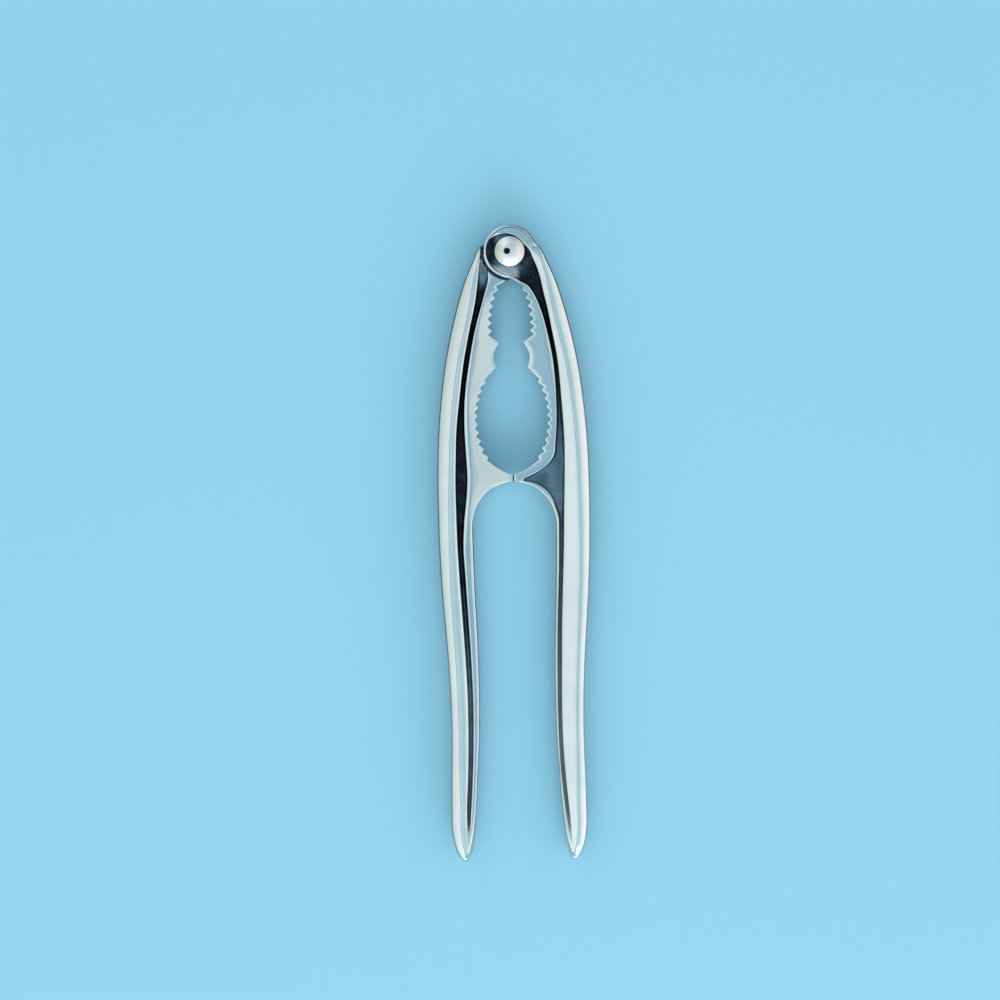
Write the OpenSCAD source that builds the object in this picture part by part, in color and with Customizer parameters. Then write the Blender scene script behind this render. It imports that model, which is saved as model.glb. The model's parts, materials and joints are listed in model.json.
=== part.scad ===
// Pliers-type nutcracker: two die-cast levers, lapped at the hub and turning on one domed rivet.
// Both levers are the same casting. The left one is turned half a turn about the tool's long axis.
// Lengths are in millimetres. Along a lever, d is the distance from the rivet towards the handle's end.

/* [Overall] */
// Width across both handles at their widest
tool_width = 41.2; // [38:0.1:52]
// Length of a handle, from the jaw tips to its end
handle_length = 103.5; // [84:0.5:128]
// Depth of a handle, from its front land to its back land
handle_depth = 13; // [11.5:0.1:17]

/* [Hub and rivet] */
// Diameter of each hub disc
hub_d = 14.3; // [12.5:0.1:17.5]
// Diameter of the rivet's shank
shank_d = 4.8; // [3.6:0.1:6]
// Diameter of both rivet heads
head_d = 8.1; // [7:0.1:10]
// Height of both rivet heads
head_h = 2.6; // [1.6:0.1:3]
// Height of the domed part of both rivet heads
dome_h = 1.35; // [0.8:0.05:2]
// Radial gap between a rivet head and the nearest wall of its recess
head_gap = 0.25; // [0.1:0.05:0.4]
// How far the recess's round wall is set off from the rivet, away from the spine
recess_shift = 1.75; // [1:0.05:2.2]
// Width of the thin rim round the recess
hub_rim_w = 0.75; // [0.5:0.05:1]
// Depth of the recess around the front rivet head
recess_depth = 1.3; // [0.8:0.1:1.8]
// Radial play between the shank and the front hub's bore
bore_play = 0.05; // [0.02:0.01:0.1]
// Play between the two hub discs, and under the front rivet head
lap_play = 0.1; // [0.04:0.02:0.3]
// Radial gap between a hub disc and the other lever's shoulder
shoulder_gap = 0.8; // [0.4:0.1:1.2]

/* [Jaws] */
// Thickness of the jaws, which is also the thickness of the two hubs together
jaw_depth = 9; // [7.5:0.1:10.8]
// Thickness of the web between the pockets of the two faces
web_depth = 4.4; // [3:0.1:6]
// Gap between the two jaw tips when the levers are closed
tip_gap = 0.3; // [0.2:0.1:1]
// Height of a jaw's flat tip
tip_land = 1.6; // [1:0.1:3]
// Width of the small nut pocket between tooth tips
small_pocket_w = 10.2; // [8.5:0.1:12.4]
// Half the length of the small nut pocket's oval
small_pocket_half = 12.4; // [10:0.1:15]
// Gap between the levers at the neck's upper corner
neck_gap = 6.4; // [5:0.1:7.4]
// Length of the neck between the two nut pockets
neck_l = 6.7; // [5:0.1:9]
// Depth of the neck's hollow in each jaw
neck_hollow = 1.1; // [0.5:0.1:1.5]
// Width of the large nut pocket between tooth tips
large_pocket_w = 18.4; // [15:0.1:20.4]
// Half the length of the large nut pocket's oval
large_pocket_half = 14.6; // [12:0.1:17.5]
// Distance from one tooth tip to the next
tooth_pitch = 2.2; // [1.8:0.1:3]
// Depth of a tooth
tooth_depth = 1.05; // [0.5:0.05:1.2]

/* [Handles] */
// Width of the spine beside the hub
spine_hub_w = 4.2; // [3.5:0.1:4.8]
// Width of the front of the spine in the middle of the grip
spine_grip_w = 7.4; // [6:0.1:7.8]
// Width of the back of the spine
spine_back_w = 5.1; // [4.2:0.1:5.6]
// Width of the groove beside the spine
groove_w = 1.4; // [1:0.1:1.8]
// Width of the flat lands along the spine, on which the tool lies
land_w = 2; // [1:0.1:2.6]
// Width of the front rim along a handle's inner edge
rim_w = 1; // [0.8:0.1:1.4]

/* [Hidden] */

$fn = 96;
hub_r = hub_d / 2;
shank_r = shank_d / 2;
head_r = head_d / 2;
half_depth = handle_depth / 2;
jaw_half = jaw_depth / 2;
web_half = web_depth / 2;
half_width = tool_width / 2;
shoulder_r = hub_r + shoulder_gap;
recess_r = head_r + head_gap + recess_shift;
recess_rim_r = hub_r - hub_rim_w;
// The recess is set off from the rivet down and away from the spine
recess_turn = 41;
recess_x = -recess_shift * cos(recess_turn);
recess_y = -recess_shift * sin(recess_turn);

// The two nut pockets and the neck, along the lever
pocket_start = hub_r + 0.45;
small_y = pocket_start + small_pocket_half;
small_last = small_y + 1.4;
small_teeth = 1 + floor((small_last - pocket_start) / tooth_pitch);
small_first = small_last - (small_teeth - 1) * tooth_pitch;
neck_y = small_last + 1.45 * tooth_pitch;
neck_end = neck_y + neck_l;
large_y = neck_end + 0.952 * large_pocket_half;
large_teeth = floor(1.56 * large_pocket_half / tooth_pitch);
large_first = large_y - 0.49 * (large_teeth - 1) * tooth_pitch;
tip_y = large_y + large_pocket_half + 0.7;
jaw_reach = tip_y + tip_land / 2;
lever_end = jaw_reach + handle_length;
// The rivet's place: the tool's box is centred on the origin and rests on z = 0
rivet_y = (lever_end - hub_r) / 2;

// ---- Curves ----

// The knot at or before d in a list of [d, x] knots
function knot_below(knots, d, i = 0) =
    i >= len(knots) - 2 || d < knots[i + 1][0] ? i : knot_below(knots, d, i + 1);

function knot_slope(knots, i) =
    let (a = max(i - 1, 0), b = min(i + 1, len(knots) - 1))
    (knots[b][1] - knots[a][1]) / (knots[b][0] - knots[a][0]);

// A smooth curve through the knots, at d
function curve(knots, d) =
    let (
        i = knot_below(knots, d),
        run = knots[i + 1][0] - knots[i][0],
        t = (d - knots[i][0]) / run
    )
    (2 * t ^ 3 - 3 * t ^ 2 + 1) * knots[i][1]
        + (t ^ 3 - 2 * t ^ 2 + t) * run * knot_slope(knots, i)
        + (3 * t ^ 2 - 2 * t ^ 3) * knots[i + 1][1]
        + (t ^ 3 - t ^ 2) * run * knot_slope(knots, i + 1);

// The half width, at d, of an oval with its middle at middle
function oval(half_w, half_l, middle, d) = half_w * sqrt(max(0, 1 - ((d - middle) / half_l) ^ 2));

// A place on the handle, from 0 at the jaw tips to 1 at the end
function grip(share) = jaw_reach + share * handle_length;

// ---- The lever's outline, as distances from the tool's middle plane ----

end_x = 0.69 * half_width;
end_round = 11.5;
end_start = lever_end - end_round;
pocket_end = grip(0.925);

outer_knots = [
    [-0.55 * hub_r, 0.75 * hub_r],
    [-0.15 * hub_r, 1.12 * hub_r],
    [0.32 * hub_r, 1.42 * hub_r],
    [0.21 * jaw_reach, 0.68 * half_width],
    [0.47 * jaw_reach, 0.85 * half_width],
    [0.78 * jaw_reach, 0.97 * half_width],
    [grip(0.07), half_width],
    [grip(0.35), 0.94 * half_width],
    [grip(0.61), 0.856 * half_width],
    [grip(0.88), 0.893 * half_width]
];
function outer_x(d) =
    d < end_start
        ? curve(outer_knots, d)
        : end_x + oval(curve(outer_knots, end_start) - end_x, end_round, end_start, d);

arch_half = 0.528 * half_width;
arch_knots = [
    [grip(0.125), arch_half + 0.3],
    [grip(0.26), arch_half + 0.1],
    [grip(0.55), arch_half - 0.7],
    [grip(0.7), arch_half - 0.3],
    [grip(0.86), arch_half + 0.8],
    [grip(0.93), end_x - 2.05],
    [grip(0.98), end_x - 1.1],
    [lever_end, end_x]
];
arch_end = grip(0.125);
arch_start = tip_y + tip_land;
// The inner edge below the jaw tips: an arch from the tip into the handle, then the handle
function grip_inner_x(d) =
    d < arch_end
        ? max(tip_gap / 2, oval(arch_half + 0.3, arch_end - arch_start, arch_end, d))
        : curve(arch_knots, d);

spine_front_knots = [
    [0, spine_hub_w - 0.6],
    [0.21 * jaw_reach, spine_hub_w],
    [0.65 * jaw_reach, (spine_hub_w + spine_grip_w) / 2 + 0.3],
    [grip(0.07), spine_grip_w],
    [grip(0.35), spine_grip_w - 0.3],
    [grip(0.6), spine_back_w + 0.5],
    [grip(0.93), spine_back_w - 0.4]
];
spine_back_knots = [
    [0, spine_hub_w - 1.2],
    [0.21 * jaw_reach, spine_hub_w],
    [0.65 * jaw_reach, spine_back_w],
    [grip(0.4), spine_back_w + 0.1],
    [grip(0.93), spine_back_w - 0.6]
];
// The spine's inner edge on each face. On the front it starts at the rim around the rivet head.
function front_edge_x(d) =
    max(outer_x(d) - curve(spine_front_knots, d), recess_x + oval(recess_r, recess_r, -recess_y, d));
function back_edge_x(d) = outer_x(d) - curve(spine_back_knots, d);

// ---- The jaw's toothed edge, as [x, d] points ----

// A tooth tip on an oval, and the valley that follows it
function teeth(half_w, half_l, middle, first, count) = [
    for (i = [0 : 2 * count - 1])
        let (d = first + i * tooth_pitch / 2)
        [oval(half_w, half_l, middle, d) + (i % 2) * tooth_depth, d]
];

neck_flare = 0.95;
neck_steps = 8;
neck_points = [
    for (i = [0 : neck_steps])
        let (t = i / neck_steps)
        [neck_gap / 2 + t * neck_flare + neck_hollow * sin(180 * t), neck_y + t * neck_l]
];

pocket_floor_start = large_first + (large_teeth - 0.5) * tooth_pitch;
jaw_edge = concat(
    teeth(small_pocket_w / 2, small_pocket_half, small_y, small_first, small_teeth),
    neck_points,
    [[oval(large_pocket_w / 2, large_pocket_half, large_y, large_first - tooth_pitch / 2) + tooth_depth,
        large_first - tooth_pitch / 2]],
    teeth(large_pocket_w / 2, large_pocket_half, large_y, large_first, large_teeth),
    [for (i = [1 : 6])
        let (d = pocket_floor_start + i / 7 * (tip_y - pocket_floor_start))
        [max(tip_gap / 2 + 0.4, oval(large_pocket_w / 2 + 0.4, large_pocket_half + 0.1, large_y, d)), d]],
    [[tip_gap / 2, tip_y + 0.2], [tip_gap / 2, arch_start]]
);

arch_steps = 14;
grip_steps = 30;
grip_edge = concat(
    [for (i = [1 : arch_steps])
        let (d = arch_end - (arch_end - arch_start) * cos(90 * i / arch_steps))
        [grip_inner_x(d), d]],
    [for (i = [1 : grip_steps]) let (d = arch_end + i / grip_steps * (pocket_end + 2 - arch_end))
        [grip_inner_x(d), d]]
);

// ---- Pockets in the two faces of the lever ----

front_pocket_start = hub_r + 1;
// The front pocket's corner behind the jaw tip, and where its edge leaves the groove towards it
apex_x = 2.9;
apex_y = tip_y + 0.4;
bridge_y = jaw_reach - 8.5;

// How wide the front pocket is between the jaw strip and the spine
front_groove_knots = [
    [front_pocket_start, groove_w + 4.2],
    [0.2 * jaw_reach, groove_w + 0.9],
    [0.34 * jaw_reach, groove_w + 0.2],
    [0.6 * jaw_reach, groove_w],
    [bridge_y, groove_w + 0.9]
];
back_groove_knots = [
    [hub_r, groove_w + 0.8],
    [0.34 * jaw_reach, groove_w],
    [0.65 * jaw_reach, groove_w + 0.1],
    [tip_y, groove_w + 2],
    [grip(0.16), groove_w + 0.3],
    [grip(0.7), groove_w],
    [pocket_end, 0.2]
];
front_grip_knots = [
    [grip(0.16), groove_w],
    [grip(0.75), groove_w - 0.3],
    [pocket_end, 0.1]
];

function jaw_strip_x(d) =
    d < bridge_y
        ? front_edge_x(d) - curve(front_groove_knots, d)
        : let (t = (d - bridge_y) / (apex_y - bridge_y), wide = front_edge_x(bridge_y) - groove_w - 0.9)
            apex_x + (wide - apex_x) * (1 - t ^ 2.6);
function rim_x(d) =
    d < grip(0.16)
        ? min(grip_inner_x(d) + rim_w * (1 + 1.6 * max(0, 1 - (d - apex_y) / 9)),
            front_edge_x(d) - groove_w)
        : front_edge_x(d) - curve(front_grip_knots, d);

function steps(from, to, n) = [for (i = [0 : n]) from + i / n * (to - from)];
jaw_ds = steps(front_pocket_start, bridge_y, 14);
bridge_ds = steps(bridge_y, apex_y, 8);
rim_ds = concat(steps(apex_y + 1.6, grip(0.16), 12), steps(grip(0.2), pocket_end, 16));
// The pocket's upper end opens into the recess around the rivet head
front_pocket_edge = concat(
    [[front_edge_x(0), 0], [0.6 * head_r, -0.8 * head_r], [0.05 * hub_r, recess_rim_r * -0.96]],
    [for (d = concat(jaw_ds, bridge_ds)) [jaw_strip_x(d), -d]],
    [for (d = rim_ds) [rim_x(d), -d]],
    [for (d = steps(pocket_end, front_pocket_start, 44)) [front_edge_x(d) + 0.6, -d]],
    [[front_edge_x(0), 0]]
);
back_ds = steps(hub_r * 0.7, pocket_end, 44);
back_groove_edge = concat(
    [for (d = back_ds) [back_edge_x(d) - curve(back_groove_knots, d), -d]],
    [for (i = [44 : -1 : 0]) [back_edge_x(back_ds[i]) + 0.6, -back_ds[i]]]
);

// ---- The spine: a rounded bar swept down the lever ----

inner_round = 1.3;
flank_steps = 6;
// 1 gives the flank the section of an ellipse, and less makes it squarer
flank_power = 0.5;

function spine_half(d) =
    min(half_depth, curve([
        [-0.55 * hub_r, jaw_half],
        [0.2 * jaw_reach, (jaw_half + half_depth) / 2 + 0.1],
        [0.6 * jaw_reach, half_depth],
        [grip(0.4), half_depth],
        [grip(0.7), half_depth],
        [end_start, half_depth - 0.85],
        [lever_end, half_depth - 3]
    ], d)) * (d < end_start ? 1 : 0.6 + oval(0.4, end_round, end_start, d));

// How far the spine has widened into the solid end, from 0 at the pocket to 1 past it
function closing(d) =
    let (t = min(1, max(0, (d - pocket_end) / 4 + 0.5)))
    t ^ 2 * (3 - 2 * t);

// One face's half of the section, from the outer edge over the top and down the inner wall
function half_section(d, edge_x, side) =
    let (
        top = spine_half(d),
        far = outer_x(d),
        near = min(edge_x + closing(d) * (grip_inner_x(d) - edge_x), far - 0.8),
        round = min(inner_round, (far - near) / 3),
        crown = near + round,
        land = min(land_w, (far - crown) / 3)
    )
    concat(
        [for (i = [1 : flank_steps])
            let (a = 90 * i / flank_steps)
            [crown + land + (far - crown - land) * max(0, cos(a)) ^ flank_power,
                side * top * sin(a) ^ flank_power]],
        [[crown, side * top],
            [near + round * 0.29, side * (top - round * 0.29)],
            [near, side * (top - round)],
            [near, side * web_half * 0.5]]
    );

function reversed(list) = [for (i = [len(list) - 1 : -1 : 0]) list[i]];

function spine_section(d) =
    concat(
        [[outer_x(d), 0]],
        half_section(d, front_edge_x(d), 1),
        reversed(half_section(d, back_edge_x(d), -1))
    );

spine_ds = concat(
    steps(-0.55 * hub_r, 0.2 * jaw_reach, 9),
    [for (d = steps(0.2 * jaw_reach, end_start, 26)) if (d > 0.2 * jaw_reach) d],
    [for (i = [1 : 7]) end_start + (end_round - 0.15) * sin(90 * i / 7)]
);
section_n = 1 + 2 * (flank_steps + 4);

module spine() {
    sections = [for (d = spine_ds) [for (p = spine_section(d)) [p[0], -d, p[1]]]];
    rows = len(sections);
    last = (rows - 1) * section_n;
    polyhedron(
        points = [for (s = sections) each s],
        faces = concat(
            [[for (j = [0 : section_n - 1]) j]],
            [for (i = [0 : rows - 2], j = [0 : section_n - 1])
                let (k = (j + 1) % section_n, a = i * section_n, b = a + section_n)
                each [[a + j, b + j, b + k], [a + j, b + k, a + k]]],
            [[for (j = [section_n - 1 : -1 : 0]) last + j]]
        )
    );
}

// ---- The lever ----

// The flat plate that the jaw, the web and the rim are cut from. Its outer side is inside the spine.
module plate_outline() {
    inside = 0.45 * spine_hub_w;
    polygon(concat(
        [[0.2, 0], [0.2, -pocket_start + 0.5]],
        [for (p = jaw_edge) [p[0], -p[1]]],
        [for (p = grip_edge) [p[0], -p[1]]],
        [for (d = steps(pocket_end + 2, 0, 60)) [outer_x(d) - inside, -d]]
    ));
}

module front_hub() {
    translate([0, 0, lap_play / 2])
        cylinder(r = hub_r, h = jaw_half - lap_play / 2);
}

// Both faces of the lever are hollowed beside the spine. The front pocket opens out behind the jaw tip.
module pockets() {
    translate([0, 0, jaw_half - recess_depth])
        intersection() {
            cylinder(r = recess_rim_r, h = handle_depth);
            translate([recess_x, recess_y])
                cylinder(r = recess_r, h = handle_depth);
        }
    translate([0, 0, web_half])
        linear_extrude(handle_depth)
            polygon(front_pocket_edge);
    translate([0, 0, -web_half - handle_depth])
        linear_extrude(handle_depth)
            polygon(back_groove_edge);
}

// Room for the other lever's hub, behind this lever's hub
module shoulder() {
    translate([0, 0, -handle_depth])
        cylinder(r = shoulder_r, h = handle_depth + lap_play / 2);
}

module lever(bore_r) {
    difference() {
        union() {
            difference() {
                union() {
                    translate([0, 0, -jaw_half])
                        linear_extrude(jaw_depth)
                            plate_outline();
                    front_hub();
                }
                pockets();
            }
            spine();
        }
        shoulder();
        cylinder(r = bore_r, h = 3 * handle_depth, center = true);
    }
}

// A head with a short straight side and a low dome
module rivet_head(seat) {
    dome_r = (head_r ^ 2 + dome_h ^ 2) / (2 * dome_h);
    translate([0, 0, seat])
        intersection() {
            translate([0, 0, head_h - dome_r])
                sphere(r = dome_r);
            cylinder(r = head_r, h = head_h);
        }
}

module placed() {
    translate([0, rivet_y, half_depth])
        children();
}

module right_lever() {
    color("silver")
        placed()
            lever(shank_r + bore_play);
}

// The same casting, turned over. The rivet is swaged tight in it.
module left_lever() {
    color("silver")
        placed()
            rotate([0, 180, 0])
                lever(shank_r);
}

module pivot_rivet() {
    color("gainsboro")
        placed()
            union() {
                translate([0, 0, recess_depth - jaw_half])
                    cylinder(r = shank_r, h = jaw_depth - 2 * recess_depth + lap_play / 2);
                rivet_head(jaw_half - recess_depth + lap_play / 2);
                mirror([0, 0, 1])
                    rivet_head(jaw_half - recess_depth);
            }
}

left_lever();
right_lever();
pivot_rivet();
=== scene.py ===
# %% [markdown]
# # A nutcracker in plated die-cast zinc
#
# Pliers-type nutcracker: two levers cast from the same die, one turned over, on a domed rivet.
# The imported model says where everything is. This lesson gives it a skin: the spine's ridged bar, the
# grooves beside it, the teeth, the rim round the rivet, and the bright plating over all of it.

# %% Load the frame
import json
import math
import bpy
import numpy as np
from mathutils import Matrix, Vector


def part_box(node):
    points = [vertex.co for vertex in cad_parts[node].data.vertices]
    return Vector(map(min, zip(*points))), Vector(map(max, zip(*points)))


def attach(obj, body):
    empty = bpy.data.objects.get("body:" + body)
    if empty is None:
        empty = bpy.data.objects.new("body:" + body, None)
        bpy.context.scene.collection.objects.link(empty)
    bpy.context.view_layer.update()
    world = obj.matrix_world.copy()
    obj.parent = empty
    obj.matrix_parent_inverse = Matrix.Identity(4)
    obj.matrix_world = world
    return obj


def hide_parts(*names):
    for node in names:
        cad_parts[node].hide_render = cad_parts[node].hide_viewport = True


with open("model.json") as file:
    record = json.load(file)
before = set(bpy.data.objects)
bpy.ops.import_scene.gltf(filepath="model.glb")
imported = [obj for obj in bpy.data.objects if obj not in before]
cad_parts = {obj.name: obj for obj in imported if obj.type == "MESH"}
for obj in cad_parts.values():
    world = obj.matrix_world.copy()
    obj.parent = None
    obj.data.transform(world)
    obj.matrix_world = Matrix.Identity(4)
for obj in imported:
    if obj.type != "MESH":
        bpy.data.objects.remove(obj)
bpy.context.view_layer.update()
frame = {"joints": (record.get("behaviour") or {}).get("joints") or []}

# %% [markdown]
# ## The lever's own coordinates
#
# It is easiest to think of one lever lying in front of us, the right one. Its x is the distance from
# the tool's middle plane and its d is the distance from the rivet towards the handle's end. Its height
# is counted from the plane on which the two hubs meet. The left lever is the same casting, turned over.

# %% Driving sizes, in millimetres
MM = 0.001
low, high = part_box("right_lever")
HINGE_Y = frame["joints"][0]["pos_m"][1] / MM
HINGE_Z = frame["joints"][0]["pos_m"][2] / MM
HUB_R = high.y / MM - HINGE_Y
LEVER_END = HINGE_Y - low.y / MM
HALF_DEPTH = HINGE_Z
HALF_WIDTH = high.x / MM
JAW_HALF = 4.5
SHOULDER_R = HUB_R + 0.8
print(f"hub radius {HUB_R:.2f}, lever end {LEVER_END:.2f}, half width {HALF_WIDTH:.2f}")

# %% [markdown]
# ## Curves
#
# The casting has hardly a straight line in it. Each long line of the lever is a smooth curve through a
# few knots. A polished surface shows every kink, so the curve is also averaged over a short stretch,
# which is what a belt grinder does to the real pattern.

# %% A smooth curve through knots, and a few shapes built on it
def through(knots, d):
    """A curve through (d, value) knots with continuous slope."""
    k = np.array(knots, float)
    at, value = k[:, 0], k[:, 1]
    slope = np.gradient(value, at)
    d = np.clip(d, at[0], at[-1])
    i = np.clip(np.searchsorted(at, d) - 1, 0, len(at) - 2)
    run = at[i + 1] - at[i]
    t = (d - at[i]) / run
    return (
        (2 * t**3 - 3 * t**2 + 1) * value[i]
        + (t**3 - 2 * t**2 + t) * run * slope[i]
        + (3 * t**2 - 2 * t**3) * value[i + 1]
        + (t**3 - t**2) * run * slope[i + 1]
    )


def softened(knots, d, reach=2.5):
    """The same curve, averaged over a stretch of twice the reach."""
    offsets = np.linspace(-reach, reach, 9)
    weights = 1.2 - (offsets / reach) ** 2
    return sum(w * through(knots, d + o) for o, w in zip(offsets, weights)) / weights.sum()


def oval(half_w, half_l, middle, d):
    """The half width at d of an oval."""
    return half_w * np.sqrt(np.clip(1 - ((d - middle) / half_l) ** 2, 0, None))


def ease(t):
    """0 below 0, 1 above 1, smooth between."""
    t = np.clip(t, 0, 1)
    return t * t * (3 - 2 * t)


# %% [markdown]
# ## The outline
#
# The outer line leaves the hub's circle, swells to the widest place below the jaws, draws in for the
# little finger and ends in a rounded point. The inner line is the working edge: rounded teeth round
# the small pocket, two cusps at the neck, teeth round the large pocket, the jaw tip, and then the
# inside of the handle.

# %% The outer line
END_ROUND = 11.5
END_START = LEVER_END - END_ROUND
END_X = 0.69 * HALF_WIDTH
OUTER_START = -2.9
CIRCLE_END = -1.2
OUTER = [
    (OUTER_START, 6.3), (-1.2, 8.1), (2.5, 10.0), (6.5, 11.85), (12.3, 13.8), (20.9, 16.1), (29, 17.8),
    (39.7, 19.3), (50, 20.2), (60, 20.55), (69.5, 20.6), (79, 20.45), (88, 20.1), (99, 19.4),
    (110, 18.6), (121, 18.1), (132, 18.0), (142, 18.25), (153.3, 18.4),
]


def outer_x(d):
    circle = oval(HUB_R, HUB_R, 0, d)
    spine = np.where(d < 4, through(OUTER, d), softened(OUTER, d))
    start = through(OUTER, np.array(END_START))
    end = END_X + oval(start - END_X, END_ROUND, END_START, d)
    line = np.where(d < END_START, spine, end)
    line = np.where(d < -1.0, np.maximum(circle, line), line)
    return np.where(d < OUTER_START, circle, line)


# %% The working edge
TOOTH_PITCH = 2.2
TOOTH_SOFT = 0.1
SMALL_DEPTH, LARGE_DEPTH = 1.2, 1.05
SMALL_FIRST, SMALL_TEETH = 8.2, 7
LARGE_FIRST, LARGE_TEETH = 35.5, 10
SMALL_HALF_W, SMALL_HALF_L, SMALL_MIDDLE = 5.05, 12.4, 20
LARGE_HALF_W, LARGE_HALF_L, LARGE_MIDDLE = 9.2, 14.6, 45.2
NECK_TOP, NECK_END = 24.6, 31.3
CUSP_TOP, CUSP_END, NECK_HOLLOW = 3.2, 4.15, 1.1
TIP_END = 62.15
ARCH_END = 74.2
TIP_GAP = 0.15
TIP_SWELL = 0.13
POCKET_FLOOR = [
    (56.4, 6.85), (57.1, 5.9), (58.3, 4.35), (59.3, 2.6), (60.0, 1.1), (60.4, TIP_GAP), (TIP_END, TIP_GAP),
]
HANDLE_INNER = [
    (ARCH_END, 11.15), (80, 11.1), (91, 10.85), (100, 10.5), (110, 10.25), (121, 10.2), (131.5, 10.4),
    (140, 10.9), (147, 11.35), (152.3, 11.75), (156.5, 12.05), (160, 12.5), (162.3, 13.0), (163.8, 13.5),
    (LEVER_END, END_X),
]


def tooth_wave(d, first):
    """0 on a tooth's tip, 1 in the valley, with both rounded off."""
    t = np.abs((((d - first) / TOOTH_PITCH + 0.5) % 1) - 0.5) * 2
    low_end = t**2 / (2 * TOOTH_SOFT) + TOOTH_SOFT / 2
    high_end = 1 - (1 - t) ** 2 / (2 * TOOTH_SOFT) - TOOTH_SOFT / 2
    return np.where(t < TOOTH_SOFT, low_end, np.where(t > 1 - TOOTH_SOFT, high_end, t))


def working_edge(d):
    hub = -oval(HUB_R, HUB_R, 0, d)
    leave = np.interp(d, [HUB_R, SMALL_FIRST], [0.0, 1.7])
    small = oval(SMALL_HALF_W, SMALL_HALF_L, SMALL_MIDDLE, d) + SMALL_DEPTH * tooth_wave(d, SMALL_FIRST)
    last_valley = SMALL_FIRST + (SMALL_TEETH - 0.5) * TOOTH_PITCH
    first_valley = LARGE_FIRST - 0.5 * TOOTH_PITCH
    t = np.clip((d - NECK_TOP) / (NECK_END - NECK_TOP), 0, 1)
    neck = CUSP_TOP + (CUSP_END - CUSP_TOP) * t + NECK_HOLLOW * np.sin(np.pi * t)
    to_neck = np.interp(d, [last_valley, NECK_TOP], [5.95, CUSP_TOP])
    from_neck = np.interp(d, [NECK_END, first_valley], [CUSP_END, 7.15])
    large = oval(LARGE_HALF_W, LARGE_HALF_L, LARGE_MIDDLE, d) + LARGE_DEPTH * tooth_wave(d, LARGE_FIRST)
    floor_start = LARGE_FIRST + (LARGE_TEETH - 0.5) * TOOTH_PITCH
    floor = through(POCKET_FLOOR, d)
    arch = oval(11.15, ARCH_END - TIP_END + 0.02, ARCH_END, d)
    short = END_X - softened(HANDLE_INNER, LEVER_END, 1.5)
    handle = softened(HANDLE_INNER, d, 1.5) + short * ease((d - LEVER_END) / 3 + 1)
    edge = np.select(
        [d < HUB_R, d < SMALL_FIRST, d < last_valley, d < NECK_TOP, d < NECK_END, d < first_valley,
         d < floor_start, d < TIP_END, d < ARCH_END],
        [hub, leave, small, to_neck, neck, from_neck, large, floor, arch],
        handle,
    )
    return np.where((d > floor_start) & (d < ARCH_END), np.maximum(edge, TIP_GAP), edge)


# %% [markdown]
# ## The hollows
#
# On the face that carries the hub's rim, the hollow starts as a shallow recess round the rivet head,
# runs down between the jaw and the spine, and opens into a triangle behind the jaw tip. On the other
# face there is only a groove beside the spine. Each hollow is held between two lines, near and far.

# %% The two lines of each hollow
RIM_R = HUB_R - 0.75
RECESS_R = 6.05
RECESS_X, RECESS_D = -1.31, 1.16
RECESS_TOP = RECESS_D - RECESS_R
FAR_START, STRIP_START, BACK_START = -2.3, 8.1, -1.5
BRIDGE_D = 52.5
APEX_X, APEX_D = 2.9, 61.2
POCKET_X, POCKET_END = 14.0, 160.2
FRONT_FAR = [
    (FAR_START, 3.64), (-0.6, 5.15), (2.1, 6.35), (4.8, 7.45), (7.5, 8.25), (10.4, 8.75), (15.2, 9.9),
    (21, 10.95), (29, 12.35), (40, 13.25), (48, 13.75), (55, 13.9), (62, 13.75), (70, 13.5), (78, 13.3),
    (88, 12.9), (99, 12.45), (110, 12.2), (121, 12.0), (132, 12.1), (142, 12.7), (151, 13.5),
    (156, 13.9), (POCKET_END, POCKET_X),
]
FRONT_NEAR = [
    (STRIP_START, 2.7), (9.0, 4.4), (10.4, 5.6), (12.9, 7.0), (15.8, 8.15), (21, 9.55), (29, 11.1),
    (40, 11.85), (48, 11.75), (53, 11.3),
]
FRONT_RIM = [
    (76, 12.05), (83, 11.95), (91, 11.65), (99, 11.3), (110, 11.05), (121, 10.95), (132, 11.1),
    (142, 11.65), (151, 12.6), (156, 13.3), (POCKET_END, POCKET_X),
]
BACK_FAR = [
    (BACK_START, 7.5), (1, 8.05), (4.1, 8.35), (8.3, 8.8), (12.7, 9.4), (21, 11.2), (29, 12.8),
    (40, 14.3), (48, 15.2), (55, 15.5), (62, 15.7), (70, 15.65), (78, 15.5), (88, 15.05), (99, 14.4),
    (110, 13.8), (121, 13.4), (132, 13.4), (142, 13.7), (151, 14.15), (156, 14.1),
    (POCKET_END, POCKET_X),
]
BACK_NEAR = [
    (BACK_START, 7.4), (0.5, 6.6), (4, 6.1), (8.3, 6.1), (10.6, 6.8), (14, 7.75), (21, 9.7), (29, 11.3),
    (40, 12.8), (48, 12.95), (55, 12.65), (61, 12.4), (67, 12.8), (73, 13.5), (79, 13.85), (88, 13.45),
    (99, 12.85), (110, 12.3), (121, 11.95), (132, 12.05), (142, 12.45), (151, 13.05), (156, 13.45),
    (POCKET_END, POCKET_X),
]


def front_far(d):
    circle = RECESS_X + oval(RECESS_R, RECESS_R, RECESS_D, d)
    line = np.where(d < 5, through(FRONT_FAR, d), softened(FRONT_FAR, d))
    return np.where(d < FAR_START, circle, line)


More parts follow.
